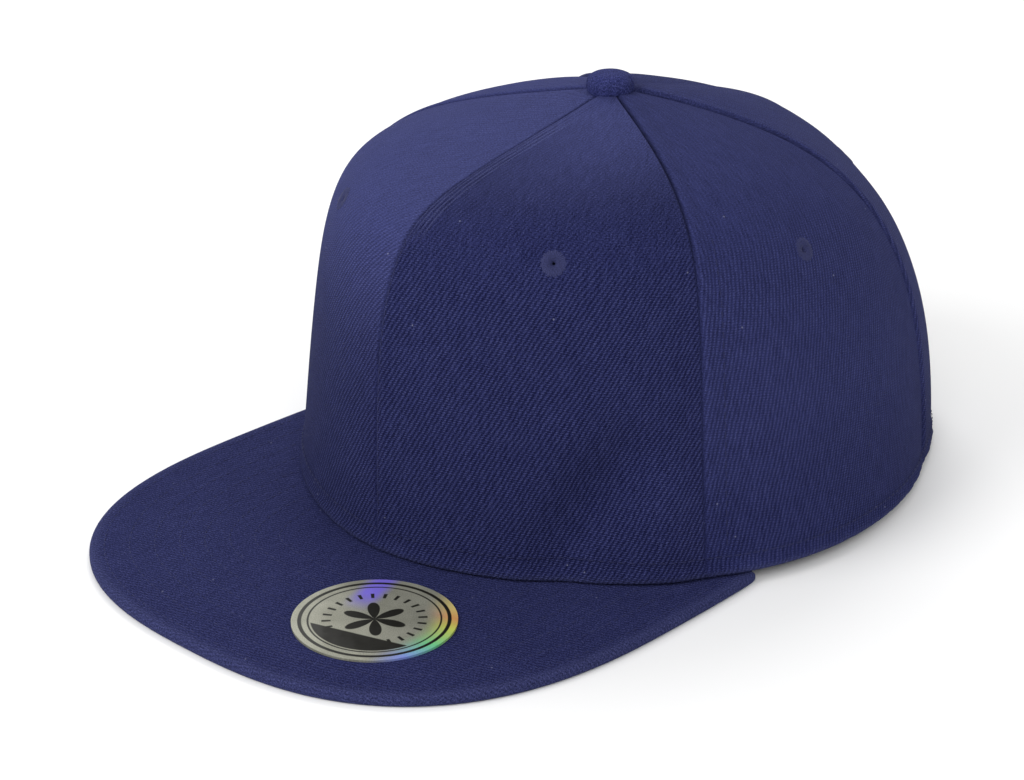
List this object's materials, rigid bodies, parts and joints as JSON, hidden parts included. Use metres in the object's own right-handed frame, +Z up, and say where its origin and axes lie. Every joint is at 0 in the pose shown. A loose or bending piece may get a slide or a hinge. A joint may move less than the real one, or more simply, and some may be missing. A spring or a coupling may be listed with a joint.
{
  "type": "snapback cap",
  "caption": "Snapback cap with a panelled crown, flat brim, covered button, eyelets, inner sweatband, arched rear opening with a closing strap, and a round foil sticker on the brim.",
  "frame": {"origin": "middle of the bounding box in plan, at the level of the table that the cap rests on", "axes": "+Z up; -Y forward, the way the brim points; +X to the wearer's left"},
  "size_m": [0.1786, 0.2716, 0.1174],
  "materials": {
    "cloth": "navy cotton twill",
    "thread": "navy embroidery thread",
    "band": "navy cotton band",
    "plastic": "moulded navy plastic",
    "foil": "glossy holographic foil film"
  },
  "bodies": {
    "root": {"panel_front_left": "cloth", "panel_front_right": "cloth", "panel_side_left": "cloth", "panel_side_right": "cloth", "panel_back_left": "cloth", "panel_back_right": "cloth", "eyelet_front_left": "thread", "eyelet_front_right": "thread", "eyelet_side_left": "thread", "eyelet_side_right": "thread", "eyelet_back_left": "thread", "eyelet_back_right": "thread", "top_button": "cloth", "brim": "cloth", "sweatband": "band", "snap_strap": "plastic", "visor_sticker": "foil"}
  },
  "joints": []
}
